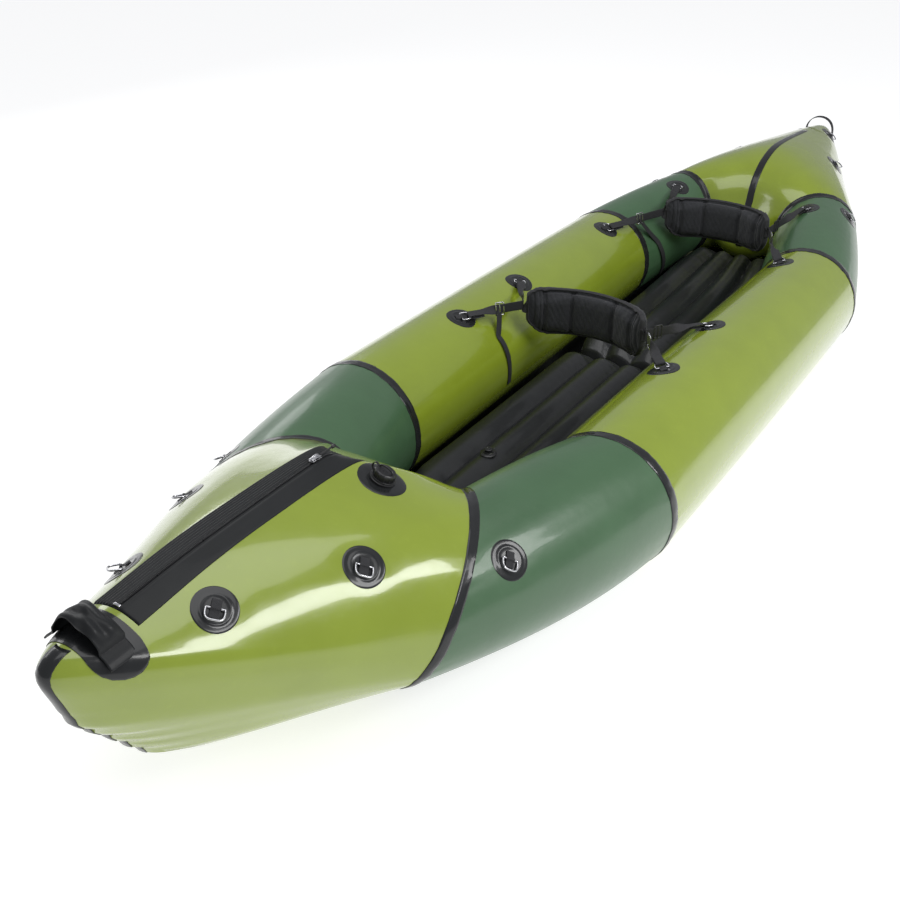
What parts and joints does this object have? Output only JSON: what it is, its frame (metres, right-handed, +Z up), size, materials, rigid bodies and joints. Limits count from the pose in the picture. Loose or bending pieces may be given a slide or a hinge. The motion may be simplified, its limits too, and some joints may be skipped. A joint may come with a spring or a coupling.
{
  "type": "packraft",
  "caption": "Long inflatable packraft with a pointed bow and stern, padded backrests, floor mats, deck zip, webbing handles and lashing rings.",
  "frame": {"origin": "middle of the overall box at the level of the underside", "axes": "+Z up, -Y towards the bow, +X to the port side"},
  "size_m": [0.917, 3.5198, 0.4403],
  "materials": {
    "black mat fabric": "black coated mat fabric",
    "black padding": "black padded fabric",
    "black plastic": "moulded black plastic",
    "black tape": "black coated seam tape",
    "black webbing": "woven black webbing",
    "dark green fabric": "coated woven fabric, dark green, satin gloss",
    "light green fabric": "coated woven fabric, light green, gloss",
    "steel": "polished stainless wire"
  },
  "bodies": {
    "hull": {"bow_handle": "black webbing", "bow_handle_patch": "black tape", "bow_seam_tape_port": "black tape", "bow_seam_tape_starboard": "black tape", "bow_skin": "light green fabric", "bow_stem_tape": "black tape", "deck_zip": "black tape", "floor_mat_valve": "black plastic", "front_floor_mat": "black mat fabric", "front_panel_port": "dark green fabric", "front_panel_starboard": "dark green fabric", "front_seam_tape_port": "black tape", "front_seam_tape_starboard": "black tape", "front_seat_strap_port": "black webbing", "front_seat_strap_starboard": "black webbing", "hull_floor": "black tape", "main_valve_body": "black plastic", "main_valve_patch": "black tape", "mid_tube_port": "light green fabric", "mid_tube_starboard": "light green fabric", "rear_floor_mat": "black mat fabric", "rear_panel_port": "dark green fabric", "rear_panel_starboard": "dark green fabric", "rear_seam_tape_port": "black tape", "rear_seam_tape_starboard": "black tape", "rear_seat_strap_port": "black webbing", "rear_seat_strap_starboard": "black webbing", "stern_centre_tape": "black tape", "stern_handle": "black webbing", "stern_seam_tape_port": "black tape", "stern_seam_tape_starboard": "black tape", "stern_skin": "light green fabric"},
    "bow_aft_port_ring": {"bow_aft_port_ring": "steel"},
    "bow_aft_starboard_ring": {"bow_aft_starboard_ring": "steel"},
    "bow_forward_port_ring": {"bow_forward_port_ring": "steel"},
    "bow_forward_starboard_ring": {"bow_forward_starboard_ring": "steel"},
    "bow_middle_port_ring": {"bow_middle_port_ring": "steel"},
    "bow_middle_starboard_ring": {"bow_middle_starboard_ring": "steel"},
    "front_seat_aft_port_ring": {"front_seat_aft_port_ring": "steel"},
    "front_seat_aft_starboard_ring": {"front_seat_aft_starboard_ring": "steel"},
    "front_seat_forward_port_ring": {"front_seat_forward_port_ring": "steel"},
    "front_seat_forward_starboard_ring": {"front_seat_forward_starboard_ring": "steel"},
    "rear_seat_aft_port_ring": {"rear_seat_aft_port_ring": "steel"},
    "rear_seat_aft_starboard_ring": {"rear_seat_aft_starboard_ring": "steel"},
    "rear_seat_forward_port_ring": {"rear_seat_forward_port_ring": "steel"},
    "rear_seat_forward_starboard_ring": {"rear_seat_forward_starboard_ring": "steel"},
    "stern_aft_port_ring": {"stern_aft_port_ring": "steel"},
    "stern_aft_starboard_ring": {"stern_aft_starboard_ring": "steel"},
    "stern_forward_port_ring": {"stern_forward_port_ring": "steel"},
    "stern_forward_starboard_ring": {"stern_forward_starboard_ring": "steel"},
    "stern_middle_port_ring": {"stern_middle_port_ring": "steel"},
    "stern_middle_starboard_ring": {"stern_middle_starboard_ring": "steel"},
    "zip_slider": {"zip_slider": "steel"},
    "zip_pull": {"zip_pull": "black webbing"},
    "main_valve_cap": {"main_valve_cap": "black plastic"},
    "front_backrest": {"front_backrest": "black padding"},
    "rear_backrest": {"rear_backrest": "black padding"}
  },
  "joints": [
    {"name": "bow_aft_port_ring_swing", "type": "hinge", "parent": "hull", "child": "bow_aft_port_ring", "pos_m": [0.32418, -1.06051, 0.27267], "axis": [-0.6002, -0.6103, 0.5171], "range_deg": [-8, 138]},
    {"name": "bow_aft_starboard_ring_swing", "type": "hinge", "parent": "hull", "child": "bow_aft_starboard_ring", "pos_m": [-0.32418, -1.06051, 0.27267], "axis": [-0.6002, 0.6103, -0.5171], "range_deg": [-24, 122]},
    {"name": "bow_forward_port_ring_swing", "type": "hinge", "parent": "hull", "child": "bow_forward_port_ring", "pos_m": [0.09647, -1.52747, 0.38266], "axis": [-0.7526, -0.572, 0.3262], "range_deg": [-8, 138]},
    {"name": "bow_forward_starboard_ring_swing", "type": "hinge", "parent": "hull", "child": "bow_forward_starboard_ring", "pos_m": [-0.09647, -1.52747, 0.38266], "axis": [-0.7526, 0.572, -0.3262], "range_deg": [-24, 122]},
    {"name": "bow_middle_port_ring_swing", "type": "hinge", "parent": "hull", "child": "bow_middle_port_ring", "pos_m": [0.19277, -1.29537, 0.35351], "axis": [-0.6837, -0.5952, 0.4222], "range_deg": [-8, 138]},
    {"name": "bow_middle_starboard_ring_swing", "type": "hinge", "parent": "hull", "child": "bow_middle_starboard_ring", "pos_m": [-0.19277, -1.29537, 0.35351], "axis": [-0.6837, 0.5952, -0.4222], "range_deg": [-24, 122]},
    {"name": "front_seat_aft_port_ring_swing", "type": "hinge", "parent": "hull", "child": "front_seat_aft_port_ring", "pos_m": [0.26094, 0.00305, 0.2899], "axis": [-0.8102, 0.552, -0.1972], "range_deg": [-1, 2]},
    {"name": "front_seat_aft_starboard_ring_swing", "type": "hinge", "parent": "hull", "child": "front_seat_aft_starboard_ring", "pos_m": [-0.26094, 0.00305, 0.2899], "axis": [-0.8102, -0.552, 0.1972], "range_deg": [-1, 2]},
    {"name": "front_seat_forward_port_ring_swing", "type": "hinge", "parent": "hull", "child": "front_seat_forward_port_ring", "pos_m": [0.26284, -0.27897, 0.29301], "axis": [0.7527, 0.6371, 0.1659], "range_deg": [-1, 2]},
    {"name": "front_seat_forward_starboard_ring_swing", "type": "hinge", "parent": "hull", "child": "front_seat_forward_starboard_ring", "pos_m": [-0.26284, -0.27897, 0.29301], "axis": [0.7527, -0.6371, -0.1659], "range_deg": [-1, 2]},
    {"name": "rear_seat_aft_port_ring_swing", "type": "hinge", "parent": "hull", "child": "rear_seat_aft_port_ring", "pos_m": [0.20475, 0.91469, 0.30823], "axis": [-0.9554, 0.2247, -0.1918], "range_deg": [-1, 2]},
    {"name": "rear_seat_aft_starboard_ring_swing", "type": "hinge", "parent": "hull", "child": "rear_seat_aft_starboard_ring", "pos_m": [-0.20475, 0.91469, 0.30823], "axis": [-0.9554, -0.2247, 0.1918], "range_deg": [-1, 2]},
    {"name": "rear_seat_forward_port_ring_swing", "type": "hinge", "parent": "hull", "child": "rear_seat_forward_port_ring", "pos_m": [0.26032, 0.51806, 0.27901], "axis": [0.8059, 0.4551, 0.3786], "range_deg": [-1, 2]},
    {"name": "rear_seat_forward_starboard_ring_swing", "type": "hinge", "parent": "hull", "child": "rear_seat_forward_starboard_ring", "pos_m": [-0.26032, 0.51806, 0.27901], "axis": [0.8059, -0.4551, -0.3786], "range_deg": [-1, 2]},
    {"name": "stern_aft_port_ring_swing", "type": "hinge", "parent": "hull", "child": "stern_aft_port_ring", "pos_m": [0.05707, 1.6406, 0.33561], "axis": [0.6414, -0.6043, -0.4727], "range_deg": [-8, 138]},
    {"name": "stern_aft_starboard_ring_swing", "type": "hinge", "parent": "hull", "child": "stern_aft_starboard_ring", "pos_m": [-0.05707, 1.6406, 0.33561], "axis": [0.6414, 0.6043, 0.4727], "range_deg": [-24, 122]},
    {"name": "stern_forward_port_ring_swing", "type": "hinge", "parent": "hull", "child": "stern_forward_port_ring", "pos_m": [0.3172, 0.99051, 0.27905], "axis": [0.5924, -0.6112, -0.5249], "range_deg": [-8, 138]},
    {"name": "stern_forward_starboard_ring_swing", "type": "hinge", "parent": "hull", "child": "stern_forward_starboard_ring", "pos_m": [-0.3172, 0.99051, 0.27905], "axis": [0.5924, 0.6112, 0.5249], "range_deg": [-24, 122]},
    {"name": "stern_middle_port_ring_swing", "type": "hinge", "parent": "hull", "child": "stern_middle_port_ring", "pos_m": [0.16363, 1.34444, 0.3261], "axis": [0.7177, -0.5853, -0.3774], "range_deg": [-8, 138]},
    {"name": "stern_middle_starboard_ring_swing", "type": "hinge", "parent": "hull", "child": "stern_middle_starboard_ring", "pos_m": [-0.16363, 1.34444, 0.3261], "axis": [0.7177, 0.5853, 0.3774], "range_deg": [-24, 122]},
    {"name": "zip_slide", "type": "slide", "parent": "hull", "child": "zip_slider", "axis": [0, -0.9996, 0.0286], "range_m": [0, 0.1]},
    {"name": "zip_pull_swing", "type": "hinge", "parent": "zip_slider", "child": "zip_pull", "pos_m": [0, -1.15618, 0.42539], "axis": [1, 0, 0], "range_deg": [0, 90]},
    {"name": "main_valve_cap_turn", "type": "hinge", "parent": "hull", "child": "main_valve_cap", "pos_m": [0.09721, -1.10876, 0.38775], "axis": [0.3498, 0.1898, 0.9174], "continuous": true},
    {"name": "front_backrest_tilt", "type": "hinge", "parent": "hull", "child": "front_backrest", "pos_m": [0, -0.152, 0.3], "axis": [1, 0, 0], "range_deg": [-30, 30]},
    {"name": "rear_backrest_tilt", "type": "hinge", "parent": "hull", "child": "rear_backrest", "pos_m": [0, 0.705, 0.29], "axis": [1, 0, 0], "range_deg": [-30, 30]}
  ]
}
